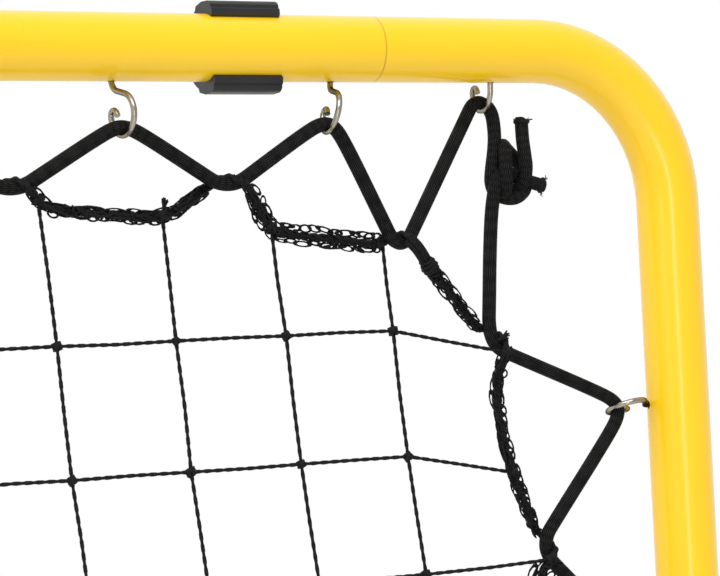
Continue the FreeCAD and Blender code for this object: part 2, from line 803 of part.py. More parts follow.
def border_points():
    points = []
    for crook, sag in border_quarter:
        passing = crook_pass(crook)
        if crook is top_middle_crook:
            passing = passing[2:]
        if crook is side_middle_crook:
            passing = passing[:2]
        points += [tuple(point) for point in passing]
        points += [(inward, down, 0.0) for inward, down in sag]
    return points


def net_border():
    points = round_the_frame(border_points())
    wire, radii = rounded_route(points, [border_radius * 6] * len(points), closed=True)
    band = swept_round(wire, border_radius)
    report_cord("border", band, wire, border_radius, radii)
    return band


def net_mesh():
    outline = round_the_frame([(a, b, -net_thickness / 2) for a, b in net_quarter])
    return Part.Face(Part.makePolygon(outline + outline[:1])).extrude(behind * net_thickness)


# ---------------------------------------------------------------- the nodes
nodes = {
    "left_side_rail": [side_rail(-1)],
    "right_side_rail": [side_rail(1)],
    "top_bar": [cross_bar(frame_height, up_rail * -1)],
    "bottom_bar": [cross_bar(0.0, up_rail)],
    "frame_joint_screws": frame_screws(),
    "left_angle_plate": [angle_plate(-1)],
    "right_angle_plate": [angle_plate(1)],
    "pivot_bolts": both_sides(pivot_bolt),
    "pivot_nuts": both_sides(pivot_nut),
    "pivot_nut_washers": both_sides(nut_washer),
    "top_hooks": bar_hooks(frame_height, up_rail * -1),
    "bottom_hooks": bar_hooks(0.0, up_rail),
    "left_hooks": rail_hooks(-1),
    "right_hooks": rail_hooks(1),
    "storage_clips": both_sides(storage_clip),
    "front_foot_pads": front_pads(),
    "lacing_cord": [lacing_cord()],
    "lacing_knot": [lacing_knot()],
    "net_border": [net_border()],
    "net_mesh": [net_mesh()],
    "left_bow_leg": [bow_leg(-1)],
    "right_bow_leg": [bow_leg(1)],
    "bow_crossbar": [bow_crossbar()],
    "bow_joint_screws": bow_screws(),
    "bow_end_plugs": both_sides(end_plug),
    "pivot_bushes": both_sides(pivot_bush),
    "pivot_washers": both_sides(pivot_washer),
    "clamp_bolts": both_sides(clamp_bolt),
    "clamp_washers": both_sides(clamp_washer),
    "rear_foot_pads": rear_pads(),
    "left_clamp_knob": [clamp_knob(-1)],
    "right_clamp_knob": [clamp_knob(1)],
}

for name, solids in nodes.items():
    shape = solids[0] if len(solids) == 1 else Part.makeCompound(solids)
    shape.exportStep("parts/" + name + ".step")

print("pivot at", [round(v, 2) for v in pivot_base], "fold", round(fold_travel, 2), "degrees")
print("top of the frame", round(frame_base.z + frame_height * up_rail.z + tube_radius, 1))
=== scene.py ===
"""Pitch back rebounder: the looks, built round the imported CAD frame.

Metres, in the frame's own axes. Places on the leaning net frame are given as (x, up, back):
x across, up along the side rails from the bottom bar's centre line, back behind the plane.
"""
import json
import math
import random

import bpy
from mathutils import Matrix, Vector

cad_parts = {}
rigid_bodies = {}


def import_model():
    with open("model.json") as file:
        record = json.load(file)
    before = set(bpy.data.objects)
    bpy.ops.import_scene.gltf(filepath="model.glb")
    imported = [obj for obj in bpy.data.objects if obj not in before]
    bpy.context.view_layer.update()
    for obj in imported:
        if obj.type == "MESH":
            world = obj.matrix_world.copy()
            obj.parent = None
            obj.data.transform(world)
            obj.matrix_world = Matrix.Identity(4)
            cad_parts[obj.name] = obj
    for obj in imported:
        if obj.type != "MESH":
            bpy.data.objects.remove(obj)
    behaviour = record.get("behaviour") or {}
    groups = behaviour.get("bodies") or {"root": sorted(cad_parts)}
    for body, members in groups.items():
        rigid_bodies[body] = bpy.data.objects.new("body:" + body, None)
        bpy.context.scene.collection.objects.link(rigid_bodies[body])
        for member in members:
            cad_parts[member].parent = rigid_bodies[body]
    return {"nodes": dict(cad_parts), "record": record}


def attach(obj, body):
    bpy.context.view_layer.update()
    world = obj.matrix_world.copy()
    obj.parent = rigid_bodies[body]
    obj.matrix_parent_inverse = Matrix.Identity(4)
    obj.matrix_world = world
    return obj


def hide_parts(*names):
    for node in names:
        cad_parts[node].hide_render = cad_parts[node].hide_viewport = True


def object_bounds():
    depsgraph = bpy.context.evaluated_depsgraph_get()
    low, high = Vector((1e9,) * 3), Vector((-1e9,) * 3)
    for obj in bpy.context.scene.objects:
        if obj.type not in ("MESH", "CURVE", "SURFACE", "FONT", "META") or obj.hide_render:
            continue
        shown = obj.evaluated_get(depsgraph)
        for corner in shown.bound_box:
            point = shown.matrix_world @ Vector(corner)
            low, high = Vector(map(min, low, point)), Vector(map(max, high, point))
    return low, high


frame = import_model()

cad_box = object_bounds()
chance = random.Random(7)

# ---------------------------------------------------------------- measures of the frame
frame_width = 0.9445
frame_height = 0.9445
frame_lean = math.radians(6.0)
bar_height = 0.0165
corner_stub = 0.133
frame_base = Vector((0.0, -0.38452, bar_height))
across = Vector((1.0, 0.0, 0.0))
up_rail = Vector((0.0, math.sin(frame_lean), math.cos(frame_lean)))
behind = Vector((0.0, math.cos(frame_lean), -math.sin(frame_lean)))

cord_radius = 0.0027
twine_radius = 0.00084
twine_pitch = 0.0088        # one turn of the net twine's two plies
twine_flatness = 0.7
yarn_radius = 0.00036


quarters = ((1, 1), (1, -1), (-1, -1), (-1, 1))      # (side, end), clockwise from the top right


def on_frame(x, up, back=0.0):
    return frame_base + across * x + up_rail * up + behind * back


def from_corner(x, up, back=0.0):
    """A place measured from the top right corner's centre lines."""
    return on_frame(frame_width / 2 + x, frame_height + up, back)


def in_quarter(point, side, end):
    """(in from the rail, in from the bar, back), in the quarter on that side and end."""
    inward, down, back = point
    return on_frame(side * (frame_width / 2 - inward),
                    frame_height / 2 + end * (frame_height / 2 - down), back)


def round_the_frame(quarter):
    """One quarter's points repeated round the frame, from the middle of the top bar."""
    loop = []
    for side, end in quarters:
        points = [in_quarter(point, side, end) for point in quarter]
        loop += points if side == end else points[::-1]
    return loop


# ---------------------------------------------------------------- camera
bpy.ops.object.camera_add(location=(-0.1672, -1.1961, 0.9357),
                          rotation=(math.radians(90 - 3.872), 0.0, math.radians(-28.869)))
camera = bpy.context.object
camera.data.lens = 136.87
camera.data.sensor_width = 36.0
camera.data.clip_end = 50.0
bpy.context.scene.camera = camera


# ---------------------------------------------------------------- making by hand
def nothing_selected():
    bpy.ops.object.select_all(action="DESELECT")


def only(piece):
    nothing_selected()
    piece.select_set(True)
    bpy.context.view_layer.objects.active = piece
    return piece


def apply_modifiers(piece):
    only(piece)
    for modifier in list(piece.modifiers):
        bpy.ops.object.modifier_apply(modifier=modifier.name)
    return piece


def settle(piece):
    """Puts the object at the origin, unturned and unscaled, with its place in its mesh."""
    only(piece)
    bpy.ops.object.transform_apply(location=True, rotation=True, scale=True)
    return piece


def join(name, pieces):
    nothing_selected()
    for piece in pieces:
        piece.select_set(True)
    bpy.context.view_layer.objects.active = pieces[0]
    if len(pieces) > 1:
        bpy.ops.object.join()
    joined = bpy.context.object
    joined.name = name
    joined.data.name = name
    return joined


def copy_of(piece):
    only(piece)
    bpy.ops.object.duplicate(linked=False)
    return bpy.context.object


def line_curve(name, points, kind="NURBS", order=3, closed=False, steps=8):
    """A curve with those points as its own; order and ends are set once the points are in."""
    data = bpy.data.curves.new(name, "CURVE")
    data.dimensions = "3D"
    data.resolution_u = steps
    spline = data.splines.new(kind)
    spline.points.add(len(points) - 1)
    for held, point in zip(spline.points, points):
        held.co = (point[0], point[1], point[2], 1.0)
    spline.use_cyclic_u = closed
    if kind == "NURBS":
        spline.order_u = order
        spline.use_endpoint_u = not closed
    curve = bpy.data.objects.new(name, data)
    bpy.context.scene.collection.objects.link(curve)
    return curve


def as_mesh(curve):
    only(curve)
    bpy.ops.object.convert(target="MESH")
    piece = bpy.context.object
    bpy.ops.object.shade_smooth()
    return piece


def tube_along(name, points, radius, sides=3, **how):
    curve = line_curve(name, points, **how)
    curve.data.bevel_depth = radius
    curve.data.bevel_resolution = sides
    curve.data.use_fill_caps = True
    return as_mesh(curve)


def points_along(curve):
    """The smooth line that a curve's points make, and its distance at each of them."""
    depsgraph = bpy.context.evaluated_depsgraph_get()
    mesh = bpy.data.meshes.new_from_object(curve.evaluated_get(depsgraph))
    points = [vertex.co.copy() for vertex in mesh.vertices]
    bpy.data.meshes.remove(mesh)
    distances = [0.0]
    for start, end in zip(points, points[1:]):
        distances.append(distances[-1] + (end - start).length)
    return points, distances


# ---------------------------------------------------------------- elastic lacing
# One cord, from its upper tail through the knot, round every hook and back to its lower tail.
# Each hook and each crook has two points, and each straight run one near either end.
lacing_quarter = [
    (0.4682, 0.0530, 0.0), (0.4603, 0.0483, -0.0011), (0.4368, 0.0344, -0.0046),
    (0.4277, 0.0296, -0.0057), (0.4225, 0.0296, -0.0057), (0.4138, 0.0341, -0.0046),
    (0.3911, 0.0471, -0.0011), (0.3836, 0.0515, 0.0), (0.3756, 0.0515, 0.0),
    (0.3682, 0.0472, -0.0011), (0.3458, 0.0341, -0.0045), (0.3372, 0.0297, -0.0056),
    (0.3320, 0.0296, -0.0056), (0.3216, 0.0338, -0.0045), (0.2938, 0.0464, -0.0010),
    (0.2846, 0.0506, 0.0001), (0.2766, 0.0502, -0.0001), (0.2700, 0.0461, -0.0012),
    (0.2502, 0.0339, -0.0045), (0.2424, 0.0297, -0.0056), (0.2372, 0.0297, -0.0056),
    (0.2288, 0.0338, -0.0045), (0.2070, 0.0462, -0.0011), (0.1998, 0.0503, 0.0),
    (0.1918, 0.0501, 0.0), (0.1854, 0.0457, -0.0012), (0.1660, 0.0325, -0.0047),
    (0.1585, 0.0284, -0.0059), (0.1533, 0.0296, -0.0059), (0.1473, 0.0386, -0.0048),
    (0.1325, 0.0649, -0.0017), (0.1276, 0.0736, -0.0006), (0.1212, 0.0738, 0.0006),
    (0.1156, 0.0655, 0.0015), (0.0896, 0.0266, 0.0059), (0.0840, 0.0183, 0.0068),
    (0.0760, 0.0216, 0.0076), (0.0852, 0.0965, 0.0014), (0.0868, 0.1085, 0.0004),
    (0.0841, 0.1155, -0.0004), (0.0765, 0.1188, -0.0004), (0.0388, 0.1345, -0.0004),
    (0.0301, 0.1391, -0.0005), (0.0290, 0.1441, -0.0005), (0.0344, 0.1520, -0.0004),
    (0.0606, 0.1832, 0.0001), (0.0661, 0.1898, 0.0), (0.0659, 0.1970, 0.0),
    (0.0587, 0.2043, 0.0001), (0.0366, 0.2261, -0.0006), (0.0293, 0.2346, -0.0008),
    (0.0292, 0.2398, -0.0008), (0.0357, 0.2486, -0.0006), (0.0556, 0.2714, 0.0001),
    (0.0620, 0.2790, 0.0), (0.0620, 0.2870, 0.0), (0.0556, 0.2947, 0.0001),
    (0.0358, 0.3180, -0.0006), (0.0293, 0.3269, -0.0008), (0.0293, 0.3321, -0.0008),
    (0.0353, 0.3414, -0.0006), (0.0540, 0.3655, 0.0001), (0.0600, 0.3736, 0.0),
    (0.0600, 0.3816, 0.0), (0.0540, 0.3896, 0.0001), (0.0355, 0.4136, -0.0007),
    (0.0294, 0.4228, -0.0009), (0.0294, 0.4280, -0.0009), (0.0352, 0.4370, -0.0007),
    (0.0532, 0.4604, 0.0001), (0.0590, 0.4682, 0.0),
]
knot_hook_point = 36        # the last point over the hook above the knot

# The cord's two ends through the knot, each from the loose tail, from the top right corner.
upper_end = [
    (-0.0662, -0.0275, 0.0016), (-0.0664, -0.0335, 0.0014), (-0.0670, -0.0405, -0.0008),
    (-0.0668, -0.0463, -0.0014), (-0.0671, -0.0520, 0.0010), (-0.0695, -0.0552, 0.0062),
    (-0.0735, -0.0520, 0.0085), (-0.0752, -0.0562, 0.0040), (-0.0762, -0.0535, -0.0010),
    (-0.0766, -0.0465, -0.0018), (-0.0760, -0.0392, -0.0010), (-0.0738, -0.0358, 0.0045),
    (-0.0690, -0.0378, 0.0092), (-0.0640, -0.0430, 0.0085), (-0.0632, -0.0500, 0.0055),
    (-0.0655, -0.0550, 0.0028), (-0.0715, -0.0580, 0.0022), (-0.0770, -0.0560, 0.0058),
    (-0.0796, -0.0515, 0.0052), (-0.0797, -0.0455, 0.0036), (-0.0778, -0.0390, 0.0044),
    (-0.0757, -0.0318, 0.0064),
]
lower_end = [
    (-0.0832, -0.0790, 0.0026), (-0.0812, -0.0630, 0.0032), (-0.0802, -0.0545, 0.0018),
    (-0.0788, -0.0488, 0.0012), (-0.0750, -0.0460, 0.0040), (-0.0700, -0.0480, 0.0052),
    (-0.0645, -0.0506, 0.0032), (-0.0592, -0.0526, 0.0006),
]


def lacing_points():
    loop = round_the_frame(lacing_quarter)
    ordered = loop[knot_hook_point::-1] + loop[:knot_hook_point:-1]
    return ([from_corner(*place) for place in upper_end] + ordered
            + [from_corner(*place) for place in lower_end])


lacing = tube_along("lacing_cord_braided", lacing_points(), cord_radius, sides=4, steps=10)
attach(lacing, "net_frame")
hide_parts("lacing_cord", "lacing_knot")


def torus(major_radius, minor_radius, around, across_it):
    """A ring of that many segments at the origin, round Z."""
    nothing_selected()
    bpy.ops.mesh.primitive_torus_add(major_segments=around, minor_segments=across_it,
                                     major_radius=major_radius, minor_radius=minor_radius)
    return bpy.context.object


def frayed_end(name, before, end):
    """Where the cord is cut off: the sheath's rim rolled outwards, and threads standing out of it."""
    way = (end - before).normalized()
    turn = way.to_track_quat("Z", "Y")
    side, up = turn @ Vector((1, 0, 0)), turn @ Vector((0, 1, 0))
    rim = torus(cord_radius * 0.86, cord_radius * 0.36, 20, 8)
    for loose in (1.0, 0.55, 0.2):      # folds of the core, each further in and further out
        fold = torus(cord_radius * 0.7 * loose, cord_radius * 0.30, 16, 6)
        fold.location.z = cord_radius * 0.25 / loose ** 0.3
        fold.rotation_euler = (chance.uniform(-0.35, 0.35), chance.uniform(-0.35, 0.35), 0)
        settle(fold)
        rim = join(name, [rim, fold])
    rim.rotation_euler = turn.to_euler()
    rim.location = end
    pieces = [settle(rim)]
    bpy.ops.object.shade_smooth()
    for i in range(frayed_threads):
        angle = 2 * math.pi * i / frayed_threads + chance.uniform(-0.3, 0.3)
        out = side * math.cos(angle) + up * math.sin(angle)
        start = end + out * cord_radius * chance.uniform(0.5, 1.0)
        bend = start + way * thread_reach * 0.5 + out * thread_reach * chance.uniform(0.1, 0.6)
        tip = (bend + way * thread_reach * chance.uniform(-0.3, 0.4)
               + out * thread_reach * chance.uniform(0.1, 0.6))
        pieces.append(tube_along("thread", [start, bend, tip], thread_radius, sides=1, steps=3))
    return join(name, pieces)


def wisp(place, way, reach, count):
    """A cut end of twine, its yarns fanned out from their tie."""
    start = from_corner(*place)
    aim = (across * way[0] + up_rail * way[1] + behind * way[2]).normalized()
    yarns = []
    for i in range(count):
        stray = Vector([chance.uniform(-0.28, 0.28) for axis in range(3)])
        middle = start + (aim + stray * 0.4).normalized() * reach * 0.55
        tip = start + (aim + stray).normalized() * reach * chance.uniform(0.75, 1.1)
        yarns.append(tube_along("yarn", [start, middle, tip], cut_yarn_radius, sides=1, steps=3))
    return join("twine_end", yarns)


frayed_threads = 16
thread_reach = 0.0021
thread_radius = 0.00017
cut_yarn_radius = 0.00034
cord_ends = join("lacing_frayed_ends", [
    frayed_end("upper_cut", from_corner(*upper_end[1]), from_corner(*upper_end[0])),
    frayed_end("lower_cut", from_corner(*lower_end[-2]), from_corner(*lower_end[-1])),
])
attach(cord_ends, "net_frame")
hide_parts("lacing_knot")


# ---------------------------------------------------------------- knitted border
# Its line past each crook: behind the first leg, through the crook, before the second leg.
border_quarter = [
    (0.4723, 0.0492, 0.0005), (0.4700, 0.0500, -0.0038), (0.4655, 0.0555, -0.0052),
    (0.4600, 0.0600, -0.0015), (0.4480, 0.0635, 0.0), (0.4260, 0.0650, 0.0),
    (0.4040, 0.0630, 0.0), (0.3930, 0.0585, 0.0015), (0.3868, 0.0545, 0.0050),
    (0.3815, 0.0490, 0.0036), (0.3775, 0.0490, -0.0034), (0.3715, 0.0545, -0.0052),
    (0.3650, 0.0600, -0.0015), (0.3560, 0.0635, 0.0), (0.3330, 0.0655, 0.0),
    (0.3060, 0.0620, 0.0), (0.2945, 0.0575, 0.0015), (0.2882, 0.0535, 0.0050),
    (0.2825, 0.0480, 0.0036), (0.2785, 0.0478, -0.0034), (0.2745, 0.0530, -0.0052),
    (0.2705, 0.0572, -0.0015), (0.2580, 0.0592, 0.0), (0.2400, 0.0608, 0.0),
    (0.2270, 0.0622, 0.0), (0.2190, 0.0605, 0.0003), (0.2095, 0.0550, 0.0020),
    (0.2035, 0.0525, 0.0050),
    (0.1978, 0.0478, 0.0036), (0.1940, 0.0478, -0.0034), (0.1888, 0.0535, -0.0052),
    (0.1842, 0.0605, -0.0015), (0.1800, 0.0668, 0.0), (0.1745, 0.0692, 0.0),
    (0.1560, 0.0712, 0.0), (0.1400, 0.0733, 0.0003), (0.1335, 0.0740, 0.0020),
    (0.1298, 0.0728, 0.0050),
    (0.1255, 0.0702, 0.0036), (0.1225, 0.0708, -0.0034), (0.1185, 0.0765, -0.0052),
    (0.1135, 0.0825, -0.0020), (0.1060, 0.0905, 0.0), (0.0985, 0.0985, 0.0008),
    (0.0938, 0.1035, 0.0025), (0.0898, 0.1072, 0.0050),
    (0.0838, 0.1088, 0.0036), (0.0815, 0.1122, -0.0034), (0.0828, 0.1182, -0.0052),
    (0.0850, 0.1245, -0.0018), (0.0852, 0.1335, 0.0), (0.0835, 0.1480, 0.0),
    (0.0808, 0.1600, 0.0), (0.0765, 0.1715, 0.0005), (0.0715, 0.1810, 0.0022),
    (0.0680, 0.1868, 0.0050),
    (0.0632, 0.1912, 0.0036), (0.0632, 0.1952, -0.0034), (0.0682, 0.1998, -0.0052),
    (0.0718, 0.2065, -0.0015), (0.0748, 0.2160, 0.0), (0.0768, 0.2360, 0.0),
    (0.0738, 0.2590, 0.0), (0.0680, 0.2705, 0.0022), (0.0640, 0.2768, 0.0050),
    (0.0592, 0.2812, 0.0036), (0.0592, 0.2852, -0.0034), (0.0640, 0.2898, -0.0052),
    (0.0680, 0.2965, -0.0015), (0.0725, 0.3080, 0.0), (0.0745, 0.3300, 0.0),
    (0.0718, 0.3530, 0.0), (0.0660, 0.3650, 0.0022), (0.0620, 0.3714, 0.0050),
    (0.0572, 0.3758, 0.0036), (0.0572, 0.3798, -0.0034), (0.0620, 0.3844, -0.0052),
    (0.0660, 0.3912, -0.0015), (0.0705, 0.4020, 0.0), (0.0725, 0.4240, 0.0),
    (0.0698, 0.4480, 0.0), (0.0645, 0.4595, 0.0022), (0.0608, 0.4662, 0.0050),
    (0.0560, 0.4723, 0.0020),
]
crook_quarter = [
    (0.4723, 0.0530, 0.0), (0.3796, 0.0515, 0.0), (0.2806, 0.0504, 0.0), (0.1958, 0.0502, 0.0),
    (0.1244, 0.0737, 0.0), (0.0857, 0.1120, 0.0), (0.0660, 0.1930, 0.0), (0.0620, 0.2830, 0.0),
    (0.0600, 0.3776, 0.0), (0.0590, 0.4723, 0.0),
]
border_line = line_curve("border_line", round_the_frame(border_quarter), closed=True, steps=6)
border_points, border_distances = points_along(border_line)
border_length = border_distances[-1] + (border_points[0] - border_points[-1]).length


same_crook = 0.01           # two distances closer than this are one crook


def crook_distances():
    """How far along the border's line each crook is, with the line's own two ends."""
    found = []
    for crook in round_the_frame(crook_quarter):
        nearest = min(range(len(border_points)), key=lambda i: (border_points[i] - crook).length)
        found.append(border_distances[nearest])
    apart = []
    for distance in sorted(found):
        if not apart or distance - apart[-1] > same_crook:
            apart.append(distance)
    if border_length - apart[-1] > same_crook:
        apart.append(border_length)
    if apart[0] > same_crook:
        apart.insert(0, 0.0)
    return apart


crook_places = crook_distances()


def follow(piece, curve):
    """Bends a straight piece, lying along X, onto a curve."""
    bend = piece.modifiers.new("along", "CURVE")
    bend.object = curve
    bend.deform_axis = "POS_X"
    return apply_modifiers(piece)


def twisted_strand(name, length, pitch, radius, rings, flatness=0.62):
    """Two plies twisted together, lying along X from the origin, with that many rings a turn."""
    turns = max(1, round(length / pitch))
    nothing_selected()
    bpy.ops.mesh.primitive_circle_add(vertices=6, radius=radius, fill_type="NOTHING")
    strand = bpy.context.object
    strand.name = name
    strand.scale = (1.0, flatness, 1.0)
    settle(strand)
    twist = strand.modifiers.new("twist", "SCREW")
    twist.axis = "Z"
    twist.angle = 2 * math.pi
    twist.iterations = turns
    twist.screw_offset = length / turns
    twist.steps = rings
    twist.render_steps = rings
    apply_modifiers(strand)
    strand.rotation_euler = (0.0, math.radians(90), 0.0)
    settle(strand)
    bpy.ops.object.shade_smooth()
    return strand


def link(length, width, yarn):
    """One flat oval loop of yarn, in the XY plane, its middle at the origin."""
    loop = torus(0.5, yarn / width, 10, 4)
    loop.scale = (length, width, width)
    settle(loop)
    return loop


def loops_row(name, pitch, length, width, aside, out, lean):
    """Loops of yarn along X, beside and out from the line, each a little different."""
    loops = []
    for i in range(math.ceil(row_length / pitch)):
        loop = link(length * chance.uniform(0.7, 1.45), width * chance.uniform(0.55, 1.25), yarn_radius)
        loop.rotation_euler = (lean + chance.uniform(-0.6, 0.6), chance.uniform(-0.12, 0.12),
                               chance.uniform(-0.25, 0.25))
        loop.location = (pitch * (i + 0.5) + chance.uniform(-0.2, 0.2) * pitch,
                         aside + chance.uniform(-0.25, 0.2) * width,
                         out + chance.uniform(-0.2, 0.2) * width)
        loops.append(settle(loop))
    return join(name, loops)


def turns_row(name, pitch, low, high):
    """Turns of yarn wound loosely round X, some wide and some tight."""
    turns = []
    for i in range(math.ceil(row_length / pitch)):
        turn = torus(chance.uniform(low, high), wound_yarn_radius, 8, 4)
        turn.scale = (1.0, chance.uniform(0.7, 1.1), chance.uniform(0.9, 1.6))
        turn.rotation_euler = (chance.uniform(0, 3.1), math.pi / 2 + chance.uniform(-0.9, 0.9),
                               chance.uniform(-0.9, 0.9))
        turn.location = (pitch * (i + chance.uniform(0.3, 0.7)), chance.uniform(-0.0006, 0.0006),
                         chance.uniform(-0.0005, 0.0005))
        turns.append(settle(turn))
    return join(name, turns)


def drop_outside(piece, low, high):
    """Deletes whatever loops reach past low or high along X."""
    only(piece)
    bpy.ops.object.mode_set(mode="EDIT")
    bpy.ops.mesh.select_mode(type="VERT")
    bpy.ops.mesh.select_all(action="DESELECT")
    bpy.ops.object.mode_set(mode="OBJECT")
    for vertex in piece.data.vertices:
        vertex.select = not low < vertex.co.x < high
    bpy.ops.object.mode_set(mode="EDIT")
    bpy.ops.mesh.select_linked()
    bpy.ops.mesh.delete(type="VERT")
    bpy.ops.object.mode_set(mode="OBJECT")


quarter_runs = len(crook_quarter) - 1
wrapped_run = 4             # the run that starts with a wrapped tie, counted from a bar's middle
wrapped_reach = 0.0175


def along_the_border(row, margin):
    """The row laid between each crook and the next, short of both by a margin."""
    name = row.name
    laid = []
    for i, (start, end) in enumerate(zip(crook_places, crook_places[1:])):
        run = i % (2 * quarter_runs)
        low = start + (wrapped_reach if run == wrapped_run else margin)
        high = end - (wrapped_reach if run == 2 * quarter_runs - 1 - wrapped_run else margin)
        piece = copy_of(row)
        spare = max(0.0, row_length - (high - low))
        piece.location.x = low - chance.uniform(0.0, spare)
        settle(piece)
        drop_outside(piece, low, high)
        laid.append(piece)
    bpy.data.objects.remove(row)
    whole = join(name, laid)
    bpy.ops.object.shade_smooth()
    return follow(whole, border_line)


def wrapped_tie(side, end):
    """Plies from a crook down the border, bound together by turns wound tightly over them."""
    line = [in_quarter(point, side, end) for point in wrapped_line]
    plies = []
    for aside in (-ply_apart, 0.0, ply_apart):
        lifted = [point + across * aside * side + up_rail * aside * end + behind * abs(aside) * 0.6
                  for point in line]
        plies.append(tube_along("ply", lifted, ply_radius, sides=2))
    bound, runs = line[-2], (line[-1] - line[-3]).normalized()
    for i in range(tie_turns):
        turn = torus(1.0, 0.42, 14, 6)
        wide = tie_radius * (1.0 - 0.5 * abs(2 * i / (tie_turns - 1) - 1) ** 2)
        turn.scale = (wide, wide * 0.85, wide * 0.8)
        slope = runs + Vector([chance.uniform(-0.35, 0.35) for axis in range(3)])
        turn.rotation_euler = slope.to_track_quat("Z", "Y").to_euler()
        turn.location = bound + runs * tie_pitch * (i - (tie_turns - 1) / 2)
        plies.append(settle(turn))
    whole = join("wrapped_tie", plies)
    only(whole)
    bpy.ops.object.shade_smooth()
    return whole


ply_apart = 0.0011
ply_radius = 0.00115
tie_turns = 7
tie_radius = 0.0029
tie_pitch = 0.0016
wrapped_line = [(0.1232, 0.0722, -0.0045), (0.1205, 0.0745, -0.0050), (0.1168, 0.0788, -0.0042),
                (0.1130, 0.0832, -0.0018), (0.1085, 0.0880, -0.0005)]
row_length = 0.125
wound_yarn_radius = 0.00055
core = twisted_strand("border_core", border_length, pitch=0.0085, radius=0.0018, rings=8)
border_pieces = [
    follow(core, border_line),
    along_the_border(turns_row("border_turns", pitch=0.0024, low=0.0010, high=0.0019), 0.0006),
    along_the_border(loops_row("border_inner_loops", pitch=0.0043, length=0.0054, width=0.0025,
                               aside=-0.0026, out=0.0, lean=0.15), 0.0065),
    along_the_border(loops_row("border_outer_loops", pitch=0.0046, length=0.0056, width=0.0024,
                               aside=0.0026, out=0.0, lean=-0.15), 0.0080),
    along_the_border(loops_row("border_front_loops", pitch=0.0036, length=0.0046, width=0.0024,
                               aside=0.0005, out=0.0014, lean=0.8), 0.0055),
    along_the_border(loops_row("border_back_loops", pitch=0.0041, length=0.0047, width=0.0024,
                               aside=-0.0005, out=-0.0014, lean=-0.8), 0.0055),
]
bpy.data.objects.remove(border_line)
border_pieces.append(join("border_wrapped_ties", [wrapped_tie(*quarter) for quarter in quarters]))
for piece in border_pieces:
    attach(piece, "net_frame")
    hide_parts("net_border")


# ---------------------------------------------------------------- net
# Columns and rows from the top right corner, where they cross the first row and its column.
half_columns = [-0.1294, -0.1750, -0.2200, -0.2665, -0.3122, -0.3579, -0.4036, -0.4493]
column_places = half_columns + [-frame_width - x for x in half_columns[::-1]]
first_rows = [-0.1070, -0.1548, -0.1999]
row_step = 0.04539
row_places = first_rows + [first_rows[-1] - row_step * i for i in range(1, 12)]
row_places += [-frame_height - up for up in first_rows[::-1]]
# How far the columns bow outwards at each row, from the top tie to the middle row.
column_bow = [-0.0036, 0.0, 0.0037, 0.0090, 0.0108, 0.0118, 0.0124, 0.0127, 0.0129, 0.0130]


def bow_at(row):
    """The bow of the outermost column at a row, 0 for the tie above the first row."""
    last = len(row_places) + 1
    return column_bow[min(row, last - row)]


def crossing(column, row):
    x = column_places[column]
    reach = (x + frame_width / 2) / (frame_width / 2)
    x += bow_at(row + 1) * math.tanh(3 * reach) / math.tanh(2.2)
    return x, row_places[row]


gap_weight = 6


def border_meets(x=None, up=None, towards=None):
    """Where the border, on the side of (x, up) towards, crosses a column's x or a row's up."""
    best = None
    for point in border_points:
        flat = point - from_corner(0.0, 0.0)
        place = (flat.dot(across), flat.dot(up_rail), flat.dot(behind))
        gap = abs(place[0] - x) if x is not None else abs(place[1] - up)
        away = (Vector(place[:2]) - Vector(towards)).length
        cost = gap * gap_weight + away
        if best is None or cost < best[0]:
            best = (cost, place)
    return best[1]


row_ties = {0: (-0.0860, -0.1169), 1: (-0.0798, -0.1648), 2: (-0.0668, -0.1987)}
column_ties = {0: -0.1300, 1: -0.1788, 2: -0.2236, 3: -0.2728}
columns, rows = len(column_places), len(row_places)


def tie(column=None, row=None, high=True, right=True):
    """Where a column or a row is tied to the border."""
    if row is not None:
        mirrored = min(row, rows - 1 - row)
        x, up = crossing(columns - 1 if not right else 0, row)
        if mirrored in row_ties:
            place = row_ties[mirrored]
            target = (place[0], place[1] if row == mirrored else -frame_height - place[1])
            if not right:
                target = (-frame_width - target[0], target[1])
            return border_meets(up=target[1], towards=target)
        reach = -0.07 if right else -frame_width + 0.07
        return border_meets(up=up, towards=(reach, up))
    x, up = crossing(column, 0 if high else rows - 1)
    mirrored = min(column, columns - 1 - column)
    if mirrored in column_ties:
        x = column_ties[mirrored] if column == mirrored else -frame_width - column_ties[mirrored]
    else:
        x += (x - crossing(column, 1)[0]) * 0.9
    target = (x, -0.066 if high else -frame_height + 0.066)
    return border_meets(x=x, towards=target)


def net_line(places):
    """Straight runs of twine from knot to knot, each a little off true."""
    points = []
    for start, end in zip(places, places[1:]):
        points.append(from_corner(*start))
        middle = [(a + b) / 2 for a, b in zip(start, end)]
        middle = [value + chance.uniform(-0.0004, 0.0004) for value in middle]
        points.append(from_corner(*middle))
    points.append(from_corner(*places[-1]))
    curve = line_curve("net_line", points, kind="POLY")
    length = sum((b - a).length for a, b in zip(points, points[1:]))
    strand = twisted_strand("net_strand", length, twine_pitch, twine_radius, 10, twine_flatness)
    follow(strand, curve)
    bpy.data.objects.remove(curve)
    return strand


def flat_place(place):
    return (place[0], place[1], place[2] if len(place) > 2 else 0.0)


column_strands = []
row_strands = []
tie_places = []
for column in range(columns):
    top, bottom = tie(column=column, high=True), tie(column=column, high=False)
    tie_places += [top, bottom]
    places = [top] + [flat_place(crossing(column, row)) for row in range(rows)] + [bottom]
    column_strands.append(net_line(places))
for row in range(rows):
    right, left = tie(row=row, right=True), tie(row=row, right=False)
    tie_places += [right, left]
    places = [right] + [flat_place(crossing(column, row)) for column in range(columns)] + [left]
    row_strands.append(net_line(places))
net_columns = join("net_columns", column_strands)
net_rows = join("net_rows", row_strands)


